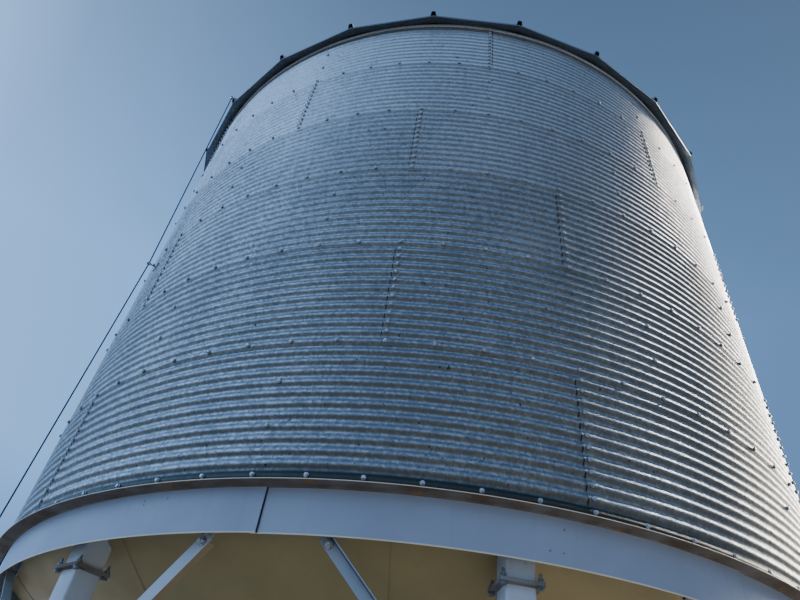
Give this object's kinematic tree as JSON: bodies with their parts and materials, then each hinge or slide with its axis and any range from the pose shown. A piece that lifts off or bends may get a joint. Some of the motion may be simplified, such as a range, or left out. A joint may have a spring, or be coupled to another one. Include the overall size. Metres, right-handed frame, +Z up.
{
  "type": "hopper-bottom grain silo",
  "caption": "Free-standing grain silo: a corrugated galvanised bin with a ribbed conical roof, on a steel hopper with braced box legs and a slide gate at its outlet.",
  "frame": {"origin": "on the silo's centre line at ground level, under the middle of the ring of feet", "axes": "+Z up; -Y is the side the picture was taken from, +X to that view's right"},
  "size_m": [6.0606, 6.0606, 9.0405],
  "materials": {
    "galvanised_sheet": "weathered hot-dip galvanised sheet with a faint spangle",
    "roof_sheet": "weathered hot-dip galvanised sheet",
    "rusted_angle": "dull primer worn through to brown rust",
    "skirt_paint": "off-white enamel, satin, slightly dusty",
    "hopper_paint": "cream enamel, satin",
    "leg_paint": "off-white enamel with rust at the bolts and edges",
    "gate_steel": "dark grey enamel, worn",
    "fitting_steel": "dull zinc-plated steel",
    "rope_fibre": "weathered twisted fibre rope"
  },
  "bodies": {
    "root": {"wall_tier_1": "galvanised_sheet", "wall_tier_2": "galvanised_sheet", "wall_tier_3": "galvanised_sheet", "wall_tier_4": "galvanised_sheet", "wall_tier_5": "galvanised_sheet", "wall_tier_6": "galvanised_sheet", "base_angle_ring": "rusted_angle", "skirt_band": "skirt_paint", "hopper_cone": "hopper_paint", "leg_1": "leg_paint", "leg_2": "leg_paint", "leg_3": "leg_paint", "leg_4": "leg_paint", "leg_5": "leg_paint", "leg_6": "leg_paint", "leg_7": "leg_paint", "leg_8": "leg_paint", "leg_stub_1": "hopper_paint", "leg_stub_2": "hopper_paint", "leg_stub_3": "hopper_paint", "leg_stub_4": "hopper_paint", "leg_stub_5": "hopper_paint", "leg_stub_6": "hopper_paint", "leg_stub_7": "hopper_paint", "leg_stub_8": "hopper_paint", "knee_brace_1_left": "leg_paint", "knee_brace_1_right": "leg_paint", "knee_brace_2_left": "leg_paint", "knee_brace_2_right": "leg_paint", "knee_brace_3_left": "leg_paint", "knee_brace_3_right": "leg_paint", "knee_brace_4_left": "leg_paint", "knee_brace_4_right": "leg_paint", "knee_brace_5_left": "leg_paint", "knee_brace_5_right": "leg_paint", "knee_brace_6_left": "leg_paint", "knee_brace_6_right": "leg_paint", "knee_brace_7_left": "leg_paint", "knee_brace_7_right": "leg_paint", "knee_brace_8_left": "leg_paint", "knee_brace_8_right": "leg_paint", "outlet_neck": "hopper_paint", "slide_gate_frame": "gate_steel", "slide_gate_blade": "galvanised_sheet", "roof": "roof_sheet", "peak_collar": "roof_sheet", "peak_ring": "roof_sheet", "roof_lid": "roof_sheet", "lid_band": "roof_sheet", "lid_lever": "fitting_steel", "eave_guide": "fitting_steel", "wall_guide": "fitting_steel", "skirt_guide": "fitting_steel", "rope_cleat": "fitting_steel", "opener_rope": "rope_fibre"}
  },
  "joints": []
}
